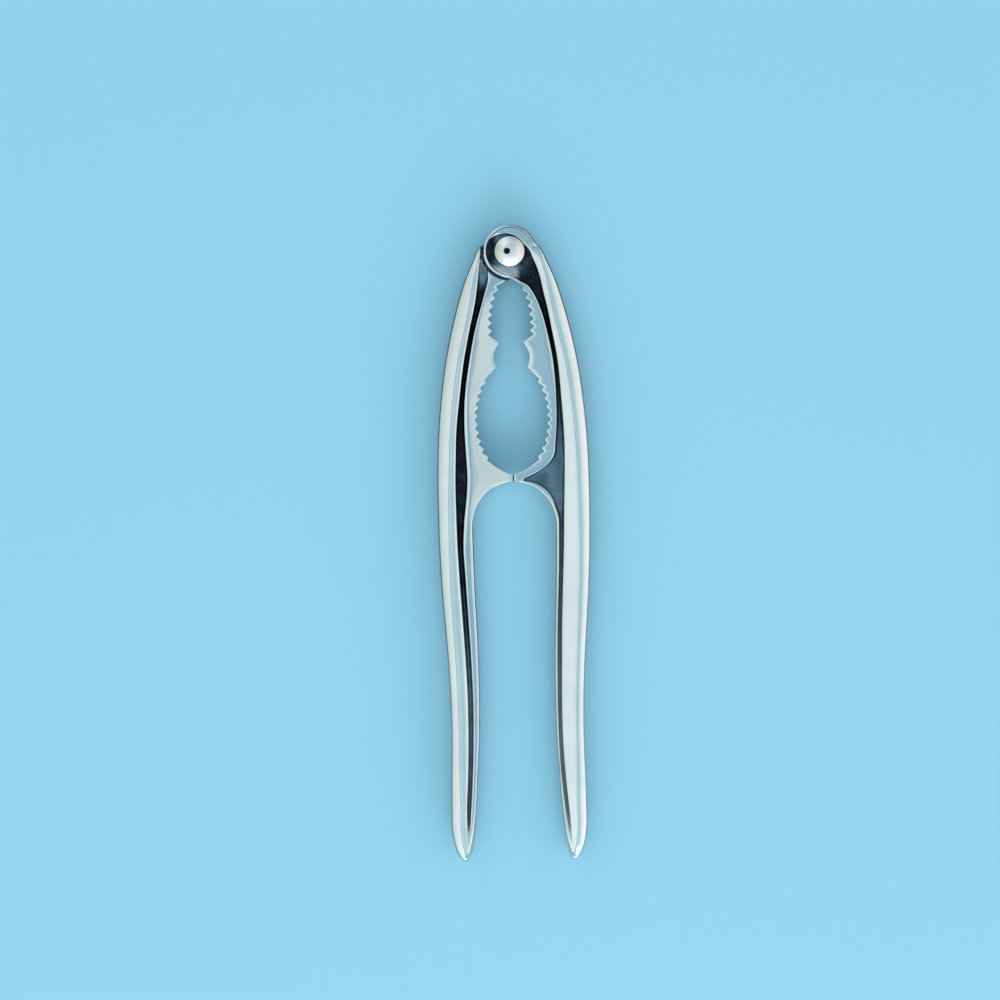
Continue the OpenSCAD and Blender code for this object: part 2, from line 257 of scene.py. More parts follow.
def front_near(d):
    recess = np.maximum(-oval(RIM_R, RIM_R, 0, d), RECESS_X - oval(RECESS_R, RECESS_R, RECESS_D, d))
    rim_end = RIM_R - 0.03
    leave = np.interp(d, [rim_end, 7.3, STRIP_START], [-0.6, 1.6, 2.7])
    strip = through(FRONT_NEAR, d)
    t = np.clip((d - BRIDGE_D) / (APEX_D - BRIDGE_D), 0, 1)
    bridge = APEX_X + (through(FRONT_NEAR, np.array(BRIDGE_D)) - APEX_X) * (1 - t**2.6)
    rim = working_edge(d) + 1.0 + 1.7 * np.clip(1 - (d - APEX_D) / 8, 0, 1)
    handle = softened(FRONT_RIM, d)
    rim = rim + (handle - rim) * ease((d - 70) / 8)
    line = np.select(
        [d < rim_end, d < STRIP_START, d < BRIDGE_D, d < APEX_D], [recess, leave, strip, bridge], rim
    )
    return np.minimum(line, front_far(d))


def back_far(d):
    return softened(BACK_FAR, d, 1.5)


def back_near(d):
    return np.minimum(softened(BACK_NEAR, d, 1.0), back_far(d))


# %% [markdown]
# ## Heights
#
# The spine's crest climbs from the hub to the middle of the handle and falls again to the point. From
# the crest a flat band slopes in to the groove and a curved flank slopes out to the edge, where a small
# roll turns it down. The jaw's face is flat, tilted a little. A wall drops from each edge into the
# hollow, steep as the die allows, and runs out in a rounded bottom. The knots are (d, millimetres).

# %% Heights of the faces
EDGE_ROUND = [
    (-7.2, 0.3), (8, 0.2), (56, 0.2), (59.5, 0.13), (62, 0.13), (66, 0.5), (70, 0.62), (90, 0.62),
    (150, 0.5), (165, 0.5),
]
NEAR_LIP = [(-7.2, 0.2), (10, 0.16), (60, 0.16), (75, 0.25), (165, 0.25)]
BACK_LIP = [(-7.2, 0.2), (10, 0.25), (35, 0.8), (50, 1.3), (70, 1.2), (80, 0.6), (86, 0.4),
            (94, 0.35), (165, 0.35)]
FAR_LIP = 0.06
LIP_DROP = 0.25
WALL_RUN = 0.8
TIP_ROUND = 0.9
CREST = [
    (-7.2, 4.5), (-3, 4.5), (0, 4.65), (4, 5.0), (9, 5.5), (16, 5.95), (25, 6.3), (36, 6.5), (60, 6.5),
    (100, 6.5), (132, 6.48), (145, 6.25), (153, 5.75), (158, 5.3), (161.5, 4.75), (LEVER_END, 4.0),
]
FLANK_WIDTH = [
    (-7.2, 0.45), (-1.2, 0.45), (2.5, 1.3), (6.5, 2.1), (12.3, 3.0), (18, 3.5), (30, 3.4), (60, 3.2),
    (90, 2.6), (121, 2.1), (136, 2.2), (150, 2.6), (158, 2.4), (165, 1.6),
]
RIDGE_SLOPE = 0.09
INNER_TURN = 0.09
OUTER_TURN = 0.21
ROLL_WIDTH = 0.4
ROLL_DROP = [(-7.2, 0.3), (0, 0.35), (6.5, 0.7), (14, 1.0), (165, 1.0)]
JAW_TILT = 0.045
# Strength of the painted dark outline, painted shade at the lever's edges
OUTLINE_SHADE = 0.85
GROOVE_FLOOR = 2.2
RECESS_FLOOR = 3.2


def crest_z(d):
    return np.minimum(HALF_DEPTH, softened(CREST, d, 2))


def strip_z(d):
    """The flat of the jaw, and of the rim along the handle."""
    return JAW_HALF + (np.minimum(crest_z(d) - 0.5, JAW_HALF) - JAW_HALF) * ease((d - 140) / 18)


def tip_height(d):
    """How the whole section shrinks into the rounded end."""
    t = np.clip((d - (LEVER_END - TIP_ROUND)) / TIP_ROUND, 0, 1)
    return np.sqrt(np.clip(1 - t**2, 0, 1))


def rounding(s, radius):
    """How far a rounded edge has dropped at a distance s inside it."""
    inside = np.clip(radius - s, 0, radius)
    return radius - np.sqrt(np.clip(radius**2 - inside**2, 0, None))


def wall(s):
    """0 at the top of a hollow's wall, 1 on its bottom."""
    t = np.clip(s / WALL_RUN, 0, 1)
    return 1 - (1 - t) ** 3.2


# %% [markdown]
# ## Sections
#
# The skin is made as a boat is planked. A flat grid is wrapped round the lever: each of its rows
# becomes one closed section, and its columns follow the lines just drawn. Rows are close together
# where the outline turns quickly, at the hub, the teeth and the tip, and far apart along the handle.

# %% Where the sections are taken
def section_rows():
    hub = HUB_R * np.sin(np.radians(np.linspace(-90, 90, 145)))
    leave = np.linspace(HUB_R, SMALL_FIRST, 10)[1:-1]
    small = np.arange(SMALL_FIRST, NECK_TOP - 0.05, TOOTH_PITCH / 16)
    neck = np.linspace(NECK_TOP, NECK_END, 26)
    large = np.arange(LARGE_FIRST - TOOTH_PITCH * 2, 56.5, TOOTH_PITCH / 16)
    tip = np.linspace(56.6, TIP_END, 44)[:-1]
    arch = ARCH_END - (ARCH_END - TIP_END) * np.cos(np.radians(np.linspace(0, 90, 64)))
    handle = np.linspace(ARCH_END, 148, 92)[1:]
    end = 148 + (LEVER_END - 148) * np.sin(np.radians(np.linspace(0, 90, 60)))[1:]
    rows = np.concatenate([hub, leave, small, neck, large, tip, arch, handle, end])
    rows = np.unique(np.round(rows, 4))
    return rows[np.concatenate([[True], np.diff(rows) > 0.004])]


ROWS = section_rows()
print(len(ROWS), "sections")

# %% Where the columns stand within a section
def stretch(line, d, most=6.0):
    """How much longer a step is across the section than square to a slanting line."""
    slope = (line(d + 0.02) - line(d - 0.02)) / 0.04
    return np.minimum(np.sqrt(1 + slope**2), most)


def between(start, stop, from_start, from_stop, shares):
    """Columns near both ends of a span at given distances, and the rest at shares of its middle."""
    width = stop - start
    scale = np.minimum(1, 0.42 * width / max(from_start[-1] + 1e-9, from_stop[-1] + 1e-9))
    near = [start + scale * o for o in from_start]
    far = [stop - scale * o for o in reversed(from_stop)]
    middle = [near[-1] + (far[0] - near[-1]) * s for s in shares]
    return near + middle + far


def face_columns(d, lines, lips):
    edge, near, far, outer, edge_k, near_k, far_k, outer_k, crest = lines
    steps = [0, 0.12, 0.32, 0.62, 1.0]
    wall_steps = [0.04, 0.1, 0.18, 0.3, 0.46, WALL_RUN]
    from_edge, from_near = [s * edge_k * lips[0] for s in steps], [s * near_k * lips[1] for s in steps]
    strip = between(edge, near, from_edge, from_near, [0.25, 0.5, 0.75])
    hollow = between(near, far, [s * near_k for s in wall_steps], [s * far_k for s in wall_steps],
                     [0.14, 0.28, 0.42, 0.58, 0.72, 0.86])
    band = between(far, crest, [s * far_k * FAR_LIP for s in steps], [0, 0.1], [0.3, 0.6, 0.85])
    roll = min(ROLL_WIDTH * outer_k, 0.6 * (outer - crest))
    flank = [crest + (outer - roll - crest) * s for s in (0.08, 0.3, 0.55, 0.8, 1.0)]
    angles = (8, 16, 24, 33, 42, 51, 60, 69, 78, 86, 90)
    turn = [outer - roll * (1 - math.sin(math.radians(a))) for a in angles]
    return np.array(strip + hollow + band + flank + turn)


# %% The height of one face at the columns of one section
def face_height(x, d, lines, lips, floor_of):
    edge, near, far, outer, edge_k, near_k, far_k, outer_k, crest = lines
    edge_lip, near_lip = lips
    top = crest_z(d)
    strip = strip_z(d)
    span = crest - far
    band_edge = np.maximum(top - (RIDGE_SLOPE + INNER_TURN) * span, np.minimum(top, JAW_HALF))
    strip = strip + (band_edge - strip) * ease((d - 151) / 9)
    opened = ease((far - near) / 1.0)
    grown = 1 + 2.5 * ease((d - 150) / 14)
    to_edge = (x - edge) / edge_k
    tilt = JAW_TILT * ease((d - 8) / 8) * ease((76 - d) / 8)
    flat = strip - tilt * (near - x)
    shallow = min(1, LIP_DROP / near_lip)
    flat = flat - rounding(to_edge, edge_lip * grown)
    flat = flat - shallow * rounding((near - x) / near_k, near_lip * opened + 1e-6)
    t = np.clip((crest - x) / np.maximum(span, 1e-6), 0, 1)
    band = top - (top - band_edge) * (t + t**2) / 2
    band = band - rounding((x - far) / far_k, FAR_LIP * opened + 1e-6)
    share = ease((x - near) / np.maximum(far - near, 1e-6))
    lip = near_lip * shallow + (FAR_LIP - near_lip * shallow) * share
    base = strip + (band_edge - strip) * share - lip * opened - rounding(to_edge, edge_lip * grown)
    depth = wall((x - near) / near_k) * wall((far - x) / far_k)
    hollow = base - np.maximum(base - floor_of(x, d), 0) * depth
    u = np.clip((x - crest) / np.maximum(outer - crest, 1e-6), 0, 1)
    width = (outer - crest) / outer_k
    drop = min(float(through(ROLL_DROP, d)), 0.6 * float(top))
    turn = rounding((outer - x) / outer_k, ROLL_WIDTH) * drop / ROLL_WIDTH
    flank = top - width * (RIDGE_SLOPE * u + OUTER_TURN * u**2) - turn
    z = np.select([x < near, x < far, x < crest], [flat, hollow, band], flank)
    # Hollow mask: dull finish with painted shade
    dull_and_shade = np.where((x >= near) & (x <= far), depth, 0) * opened
    # Painted dark outline: painted shade on the outer roll and, along the handle, on the inner edge
    painted_outline = OUTLINE_SHADE * ease((1 - (outer - x) / outer_k / ROLL_WIDTH) / 0.4)
    painted_outline = np.maximum(painted_outline, OUTLINE_SHADE * ease((0.32 - to_edge) / 0.2) * ease((d - 70) / 6))
    return z, np.maximum(dull_and_shade, painted_outline)


# %% [markdown]
# The hollows carry painted shade and painted reflection: black near the jaws and steel blue along the
# handle. The tone of this painted shade goes from 0, black, over 1, slate, to 2, light, and the skin
# carries it to the material. The front face has two floors, a shallow one under the rivet head and a
# deep one beside the spine, with a ramp between them.
# Round the hub the free edge is a circle, so its rounding is measured from the rivet and not from the
# section's end.

# %% How dark the hollows' painted shade is
# Tone of the painted shade and painted reflection in the front hollow, by distance from the rivet
FRONT_PAINTED_TONE = [
    (-7.2, 0.9), (4, 0.9), (9, 0.3), (13, 0.05), (22, 0.05), (32, 0.4), (42, 0.75), (52, 0.95), (62, 1.1),
    (75, 1.4), (100, 1.8), (130, 2.3), (160, 2.3),
]
# Tone of the painted shade in the back groove, by distance from the rivet
BACK_PAINTED_TONE = [
    (-7.2, 0.9), (6, 0.9), (10, 0.15), (16, 0.0), (60, 0.0), (76, 0.1), (90, 0.4), (110, 1.3), (160, 1.7),
]
# How much painted reflection lightens the recess floor below the rivet head
RECESS_PAINTED_SHEEN = 0.5


def front_painted_tone(x, d):
    """Painted shade: darker to the right of the rivet head and on the recess's left side."""
    aside = np.maximum(ease((x - 1.6) / 1.8), ease((-3.3 - x) / 1.0))
    return float(through(FRONT_PAINTED_TONE, np.array(d))) * (1 - 0.95 * aside * ease((14 - d) / 5))


def front_painted_sheen(x, d):
    """Painted reflection: the recess floor below the rivet head is lighter than the rest."""
    below_head = ease((d - 2.6) / 2.4) * ease((10 - d) / 2.5)
    return RECESS_PAINTED_SHEEN * below_head * ease((3.4 - x) / 2.6) * ease((x + 6.2) / 1.5)


# The back groove's painted shade, the same across a section
def back_painted_tone(x, d):
    return np.full(len(x), float(through(BACK_PAINTED_TONE, np.array(d))))


# %% The two faces
def front_floor(x, d):
    down = ease((0.8 * x + 0.6 * d - 4.6) / 2.6)
    return RECESS_FLOOR + (GROOVE_FLOOR - RECESS_FLOOR) * down


def back_floor(x, d):
    return GROOVE_FLOOR + (JAW_HALF - 0.8 - GROOVE_FLOOR) * (1 - ease((d - 5.5) / 4.5))


def face_lines(d, near, far, near_line, far_line):
    at = np.array(d)
    edge, outer = float(working_edge(at)), float(outer_x(at))
    k_hub = min(6, 1 / np.sqrt(max(1e-4, 1 - (d / HUB_R) ** 2))) if d < HUB_R else 1
    edge_k = k_hub if d < HUB_R else float(stretch(working_edge, at, 4))
    outer_k = k_hub if d < CIRCLE_END else float(stretch(outer_x, at, 5))
    crest = max(outer - float(through(FLANK_WIDTH, at)) * outer_k, far + 0.25 * (outer - far))
    near_k, far_k = float(stretch(near_line, at)), float(stretch(far_line, at))
    return edge, near, far, outer, edge_k, near_k, far_k, outer_k, crest


def face(d, near_line, far_line, floor_of, has_hub):
    at = np.array(d)
    near, far = float(near_line(at)), float(far_line(at))
    if has_hub and d < RECESS_TOP:
        near = far = RECESS_X * min(1, float(outer_x(at)) / 4)
    if d > POCKET_END:
        edge, outer = float(working_edge(at)), float(outer_x(at))
        near = far = min(max(POCKET_X, edge + 0.3 * (outer - edge)), outer - 0.3 * (outer - edge))
    if not has_hub and d < BACK_START:
        near = far = 0.9 * float(outer_x(at))
    lines = face_lines(d, near, far, near_line, far_line)
    lips = float(through(EDGE_ROUND, at)), float(through(NEAR_LIP if has_hub else BACK_LIP, at))
    x = face_columns(d, lines, lips)
    z, dull_and_shade = face_height(x, d, lines, lips, floor_of)
    if has_hub:
        free = (x < 0) | (d < CIRCLE_END)
        z = np.where(free, z - 0.6 * rounding(HUB_R - np.hypot(x, d), 0.5), z)
    # The tone of the hollows' painted shade
    tone = (front_painted_tone if has_hub else back_painted_tone)(x, d)
    # Painted reflection: the hollow mask is lifted on the recess floor below the rivet head
    dull_and_shade = dull_and_shade * (1 - front_painted_sheen(x, d)) if has_hub else dull_and_shade
    return x, z * tip_height(d), dull_and_shade, tone, x - lines[-1]


# %% [markdown]
# ## Wrapping the grid
#
# A grid primitive has the right number of rows and columns. Its vertices are set on the sections, its
# two long sides meet along the jaw's inner wall, its first and last rows are each drawn together in
# one point, and merging by distance closes them all.

# %% One closed skin from the sections
WALL_STEPS = 6
NO_CREST = 9.0


def section(d):
    """Points of one closed section: x, z, how dull and painted dark, the tone of the painted shade,
    distance from the crest.
    """
    front = face(d, front_near, front_far, front_floor, True)
    back = face(d, back_near, back_far, back_floor, False)
    points = list(zip(*front))
    top, bottom, outer = front[1][-1], -back[1][-1], front[0][-1]
    for i in range(1, WALL_STEPS):
        points.append((outer, top + (bottom - top) * i / WALL_STEPS, 0.0, 0.0, NO_CREST))
    points += [(x, -z, s, t, c) for x, z, s, t, c in zip(*back)][::-1]
    top, bottom, edge = -back[1][0], front[1][0], front[0][0]
    # Where the jaw tips meet, the gap's walls carry painted shade and swell towards each other
    closed = float(ease((d - 60.0) / 0.3) * ease((TIP_END + 0.3 - d) / 0.3))
    points[0] = points[0][:2] + (closed, 0.0, NO_CREST)
    for i in range(1, WALL_STEPS + 1):
        swell = TIP_SWELL * closed * (i < WALL_STEPS)
        points.append((edge - swell, top + (bottom - top) * i / WALL_STEPS, closed, 0.0, NO_CREST))
    return points


def deselect():
    bpy.ops.object.select_all(action="DESELECT")


def only(piece):
    deselect()
    piece.select_set(True)
    bpy.context.view_layer.objects.active = piece
    return piece


def wrapped_skin(name):
    rings = np.array([section(float(d)) for d in ROWS])
    rows, columns = rings.shape[:2]
    deselect()
    bpy.ops.mesh.primitive_grid_add(x_subdivisions=columns, y_subdivisions=rows - 1, size=1)
    skin = bpy.context.object
    skin.name = skin.data.name = name
    place = np.zeros((rows, columns + 1, 3))
    place[:, :columns, 0] = rings[:, :, 0]
    place[:, :, 1] = -ROWS[:, None]
    place[:, :columns, 2] = rings[:, :, 1]
    place[:, columns] = place[:, 0]
    for end in (0, -1):
        place[end] = place[end].mean(axis=0)
    skin.data.vertices.foreach_set("co", place.reshape(-1) * MM)
    # hollow carries the dull places with their painted shade, the painted dark outline and the dark tip
    # gap; tone the painted shade's colour
    for i, label in ((2, "hollow"), (3, "tone"), (4, "crest")):
        values = np.concatenate([rings[:, :, i], rings[:, :1, i]], axis=1)
        layer = skin.data.attributes.new(label, "FLOAT", "POINT")
        layer.data.foreach_set("value", values.reshape(-1))
    skin.data.update()
    bpy.ops.object.mode_set(mode="EDIT")
    bpy.ops.mesh.select_all(action="SELECT")
    bpy.ops.mesh.remove_doubles(threshold=0.0005 * MM)
    bpy.ops.mesh.normals_make_consistent(inside=False)
    bpy.ops.object.mode_set(mode="OBJECT")
    print(name, "skin:", rows, "by", columns, "->", len(skin.data.polygons), "faces")
    return skin


# %% [markdown]
# ## Fitting the hubs
#
# Half of the hub's thickness is cut away behind, so that the other lever's hub has room, and a bore
# goes through for the rivet. One turned cutter with a shoulder makes both in a single boolean cut.

# %% The cutter and the cut
def turned(name, profile, steps=160):
    """A body of revolution about the rivet's axis from (radius, height) points."""
    deselect()
    bpy.ops.mesh.primitive_plane_add(size=1)
    body = bpy.context.object
    body.name = body.data.name = name
    bpy.ops.object.mode_set(mode="EDIT")
    bpy.ops.mesh.select_all(action="SELECT")
    bpy.ops.mesh.delete(type="VERT")
    bpy.ops.object.mode_set(mode="OBJECT")
    body.data.vertices.add(len(profile))
    body.data.vertices.foreach_set("co", [c * MM for r, z in profile for c in (r, 0, z)])
    body.data.edges.add(len(profile) - 1)
    body.data.edges.foreach_set("vertices", [v for i in range(len(profile) - 1) for v in (i, i + 1)])
    bpy.ops.object.mode_set(mode="EDIT")
    bpy.ops.mesh.select_all(action="SELECT")
    bpy.ops.mesh.spin(steps=steps, angle=math.tau, center=(0, 0, 0), axis=(0, 0, 1))
    bpy.ops.mesh.select_all(action="SELECT")
    bpy.ops.mesh.remove_doubles(threshold=0.001 * MM)
    bpy.ops.mesh.normals_make_consistent(inside=False)
    bpy.ops.object.mode_set(mode="OBJECT")
    return body


def cut(piece, tool):
    only(piece)
    boolean = piece.modifiers.new("cut", "BOOLEAN")
    boolean.operation = "DIFFERENCE"
    boolean.solver = "EXACT"
    boolean.object = tool
    bpy.ops.object.modifier_apply(modifier=boolean.name)
    bpy.data.objects.remove(tool)


SHANK_R = 2.4
BORE_R = 2.45
LAP = 0.05
TOOL_REACH = 9


def mark_cut(lever):
    """The cut faces are out of the polishing wheel's reach, so they count as hollow: dull, and painted
    dark, a painted shade between the two hubs.
    """
    faces = lever.data.polygons
    centre = np.zeros(len(faces) * 3)
    faces.foreach_get("center", centre)
    centre = centre.reshape(-1, 3) / MM
    inside = (np.hypot(centre[:, 0], centre[:, 1]) < SHOULDER_R) & (centre[:, 2] < LAP + 0.02)
    layer = lever.data.attributes.new("cut", "FLOAT", "FACE")
    layer.data.foreach_set("value", inside.astype(float))


def fitted_lever(name):
    lever = wrapped_skin(name)
    bore = [(0, TOOL_REACH), (BORE_R, TOOL_REACH), (BORE_R, LAP)]
    room = [(SHOULDER_R, LAP), (SHOULDER_R, -TOOL_REACH), (0, -TOOL_REACH)]
    cut(lever, turned("shouldered_cutter", bore + room))
    only(lever)
    bpy.ops.object.mode_set(mode="EDIT")
    bpy.ops.mesh.select_all(action="SELECT")
    bpy.ops.mesh.remove_doubles(threshold=0.002 * MM)
    bpy.ops.object.mode_set(mode="OBJECT")
    mark_cut(lever)
    heights = [v.co.z / MM for v in lever.data.vertices]
    print(f"{name} lies between {min(heights):.2f} and {max(heights):.2f} mm")
    return lever


# %% Both levers in their places
def placed(piece, turned_over):
    """Moves the mesh, not the object, from the lever's own coordinates to the tool's."""
    co = np.zeros(len(piece.data.vertices) * 3)
    piece.data.vertices.foreach_get("co", co)
    co = co.reshape(-1, 3)
    if turned_over:
        co[:, 0] *= -1
        co[:, 2] *= -1
    co[:, 1] += HINGE_Y * MM
    co[:, 2] += HINGE_Z * MM
    piece.data.vertices.foreach_set("co", co.reshape(-1))
    piece.data.update()
    return piece


right = fitted_lever("right_lever_skin")
only(right)
bpy.ops.object.duplicate()
left = bpy.context.object
left.name = left.data.name = "left_lever_skin"
placed(right, False)
placed(left, True)

for lever in (left, right):
    only(lever)
    bpy.ops.object.shade_smooth_by_angle(angle=math.radians(38))
print("lever faces:", len(left.data.polygons), len(right.data.polygons))

# %% [markdown]
# ## The rivet
#
# The rivet is turned: a shank, a factory head in front and a head formed behind. Its profile is drawn
# once and spun about the axis. The front head has a shallow dent with a painted dark spot in it, a
# painted reflection.

# %% The rivet's profile, spun
HEAD_R = 4.05
HEAD_H = 2.6
DOME_H = 1.35
HEAD_CORNER = 0.22
SEAT = RECESS_FLOOR


def head_profile(seat):
    """From the axis over the dome to the shank, as (radius, height)."""
    side = seat + HEAD_H - DOME_H
    dome_r = HEAD_R - HEAD_CORNER
    dome = [(r, side + DOME_H * (1 - (r / HEAD_R) ** 2)) for r in np.linspace(0, dome_r, 36)]
    corner = [(dome_r + HEAD_CORNER * math.sin(a), dome[-1][1] - 0.3 * (1 - math.cos(a)))
              for a in np.radians([20, 36, 52, 66, 78, 90])]
    return dome + corner + [(HEAD_R, seat + 0.05), (HEAD_R - 0.05, seat)]


front_head = head_profile(SEAT + LAP)
back_head = [(r, -z) for r, z in reversed(head_profile(SEAT))]
rivet = turned("rivet_skin", front_head + [(SHANK_R, SEAT + LAP), (SHANK_R, -SEAT)] + back_head, 160)

# %% The dent and its painted dark spot on the front head
MARK_X, MARK_Y, MARK_R, MARK_DEPTH = -0.72, 0.05, 1.15, 0.25
co = np.zeros(len(rivet.data.vertices) * 3)
rivet.data.vertices.foreach_get("co", co)
co = co.reshape(-1, 3)
reach = np.hypot(co[:, 0] / MM - MARK_X, co[:, 1] / MM - MARK_Y) / MARK_R
dent = np.where(co[:, 2] > SEAT * MM, np.clip(1 - reach**2, 0, 1) ** 1.5, 0)
co[:, 2] -= MARK_DEPTH * MM * dent
rivet.data.vertices.foreach_set("co", co.reshape(-1))
# The dark spot is a painted reflection, carried in the hollow attribute
painted_dot = rivet.data.attributes.new("hollow", "FLOAT", "POINT")
painted_dot.data.foreach_set("value", np.clip(1.5 * (1 - reach**2), 0, 1) * (co[:, 2] > SEAT * MM))
crest = rivet.data.attributes.new("crest", "FLOAT", "POINT")
crest.data.foreach_set("value", np.full(len(co), NO_CREST))
placed(rivet, False)
only(rivet)
bpy.ops.object.shade_smooth_by_angle(angle=math.radians(40))
print("rivet faces:", len(rivet.data.polygons))

# %% [markdown]
# ## Finishes
#
# The levers are polished and plated, so they are nearly a mirror, but never a clean one: the casting
# under the plate is slightly wavy, the plate carries fine scratches along the handle, and the hollows,
# which no wheel reaches, stay dull; their darkness is painted shade. The skin's own attributes say where
# that is: hollow and cut for the dull places with their painted shade, tone for the painted shade's
# colour, crest for a painted dark line along the die's parting crease, which stands in for the crease's
# reflection.

# %% Material helpers
def new_material(name):
    material = bpy.data.materials.new(name)
    material.use_nodes = True
    tree = material.node_tree
    return material, tree, tree.nodes["Principled BSDF"]


def node(tree, kind, **values):
    made = tree.nodes.new(kind)
    for key, value in values.items():
        if key in made.inputs:
            made.inputs[key].default_value = value
        else:
            setattr(made, key, value)
    return made


def noise(tree, vector, scale, detail=3.0, rough=0.5):
    made = node(tree, "ShaderNodeTexNoise", Scale=scale, Detail=detail, Roughness=rough)
    tree.links.new(vector, made.inputs["Vector"])
    return made.outputs["Fac"]


def ramp(tree, value, low, high, start, stop):
    made = node(tree, "ShaderNodeMapRange")
    made.inputs["From Min"].default_value = low
    made.inputs["From Max"].default_value = high
    made.inputs["To Min"].default_value = start
    made.inputs["To Max"].default_value = stop
    tree.links.new(value, made.inputs["Value"])
    return made.outputs["Result"]


def mix_colour(tree, share, first, second):
    made = node(tree, "ShaderNodeMix", data_type="RGBA")
    sockets = [s for s in made.inputs if s.type == "RGBA"]
    for value, socket in zip((first, second), sockets):
        if isinstance(value, tuple):
            socket.default_value = value
        else:
            tree.links.new(value, socket)
    tree.links.new(share, made.inputs["Factor"])
    return [s for s in made.outputs if s.type == "RGBA"][0]


def mix_value(tree, share, first, second):
    made = node(tree, "ShaderNodeMix", data_type="FLOAT")
    sockets = [s for s in made.inputs if s.name in "AB" and s.type == "VALUE"]
    for value, socket in zip((first, second), sockets):
        if isinstance(value, float):
            socket.default_value = value
        else:
            tree.links.new(value, socket)
    tree.links.new(share, made.inputs["Factor"])
    return [s for s in made.outputs if s.type == "VALUE"][0]


def bump(tree, height, strength, distance, normal=None):
    made = node(tree, "ShaderNodeBump", Strength=strength, Distance=distance)
    tree.links.new(height, made.inputs["Height"])
    if normal is not None:
        tree.links.new(normal, made.inputs["Normal"])
    return made.outputs["Normal"]


def math_node(tree, operation, first, second):
    made = node(tree, "ShaderNodeMath", operation=operation)
    for value, socket in zip((first, second), made.inputs):
        if isinstance(value, float):
            socket.default_value = value
        else:
            tree.links.new(value, socket)
    return made.outputs["Value"]


def near_value(tree, value, middle, inner, outer):
    """1 within inner of the middle, 0 beyond outer."""
    away = math_node(tree, "ABSOLUTE", math_node(tree, "SUBTRACT", value, middle), 0.0)
    return ramp(tree, away, inner, outer, 1.0, 0.0)


def painted_bevel_line(tree, place, radius):
    """A painted dark line round the upper half of the hub's front, where the rim's bevel begins, standing
    in for the bevel's reflection.
    """
    centred = node(tree, "ShaderNodeVectorMath", operation="SUBTRACT")
    tree.links.new(place, centred.inputs[0])
    centred.inputs[1].default_value = (0, HINGE_Y * MM, HINGE_Z * MM)
    axes = node(tree, "ShaderNodeSeparateXYZ")
    tree.links.new(centred.outputs["Vector"], axes.inputs["Vector"])
    flat = node(tree, "ShaderNodeVectorMath", operation="MULTIPLY")
    tree.links.new(centred.outputs["Vector"], flat.inputs[0])
    flat.inputs[1].default_value = (1, 1, 0)
    length = node(tree, "ShaderNodeVectorMath", operation="LENGTH")
    tree.links.new(flat.outputs["Vector"], length.inputs[0])
    line = near_value(tree, length.outputs["Value"], radius * MM, 0.00004, 0.00014)
    upper = ramp(tree, axes.outputs["Y"], -0.0005, 0.0015, 0.0, 0.8)
    front = ramp(tree, axes.outputs["Z"], 0.0038, 0.004, 0.0, 1.0)
    return math_node(tree, "MULTIPLY", line, math_node(tree, "MULTIPLY", upper, front))


def metal(name, bright, shade, black, slate, polish, dull, ring=None):
    """A bright metal that is dull and coloured with painted shade where the hollow or cut attribute is 1.
    """
    material, tree, shader = new_material(name)
    place = node(tree, "ShaderNodeTexCoord").outputs["Object"]
    along = node(tree, "ShaderNodeMapping")
    along.inputs["Scale"].default_value = (1.0, 0.06, 1.0)
    tree.links.new(place, along.inputs["Vector"])
    hollow, tone, crest, cut_face = (
        node(tree, "ShaderNodeAttribute", attribute_name=label).outputs["Fac"]
        for label in ("hollow", "tone", "crest", "cut")
    )
    cloud = noise(tree, place, 90.0)
    drift = noise(tree, place, 330.0, 3.0, 0.55)
    specks = noise(tree, place, 3400.0, 2.0, 0.5)
    scratches = noise(tree, along.outputs["Vector"], 5200.0, 2.0, 0.6)
    waves = noise(tree, place, 45.0, 1.0, 0.3)

    face_colour = mix_colour(tree, ramp(tree, cloud, 0.35, 0.7, 0.0, 1.0), bright, shade)
    # A painted dark line along the crest, standing in for the parting crease's reflection
    painted_seam = math_node(tree, "MULTIPLY", near_value(tree, crest, 0.0, 0.03, 0.1), 0.35)
    face_colour = mix_colour(tree, painted_seam, face_colour, slate)
    # The painted dark line round the hub's rim
    if ring is not None:
        face_colour = mix_colour(tree, painted_bevel_line(tree, place, ring), face_colour, black)
    # The hollows' colour is painted shade: black, slate and lighter by the tone attribute, clouded at
    # random
    cloudy_tone = math_node(tree, "ADD", tone, ramp(tree, drift, 0.3, 0.7, -0.2, 0.2))
    deep = mix_colour(tree, ramp(tree, cloudy_tone, 0.0, 1.0, 0.0, 1.0), black, slate)
    deep = mix_colour(tree, ramp(tree, cloudy_tone, 1.0, 2.3, 0.0, 0.55), deep, shade)
    deep = mix_colour(tree, ramp(tree, specks, 0.7, 0.76, 0.0, 0.5), deep, bright)
    # Where hollow or cut is set, the metal turns dull and takes the painted shade colour
    dull_shade_mask = ramp(tree, math_node(tree, "MAXIMUM", hollow, cut_face), 0.25, 0.9, 0.0, 1.0)
    tree.links.new(mix_colour(tree, dull_shade_mask, face_colour, deep), shader.inputs["Base Color"])

    worn = ramp(tree, scratches, 0.3, 0.75, polish, polish + 0.05)
    rough = ramp(tree, drift, 0.3, 0.7, dull, dull + 0.15)
    tree.links.new(mix_value(tree, dull_shade_mask, worn, rough), shader.inputs["Roughness"])
    shader.inputs["Metallic"].default_value = 1.0
    soft = bump(tree, waves, 0.4, 0.00022)
    fine = bump(tree, scratches, 0.05, 0.00002, soft)
    grain = bump(tree, mix_value(tree, dull_shade_mask, 0.5, drift), 0.3, 0.0002, fine)
    tree.links.new(grain, shader.inputs["Normal"])
    return material


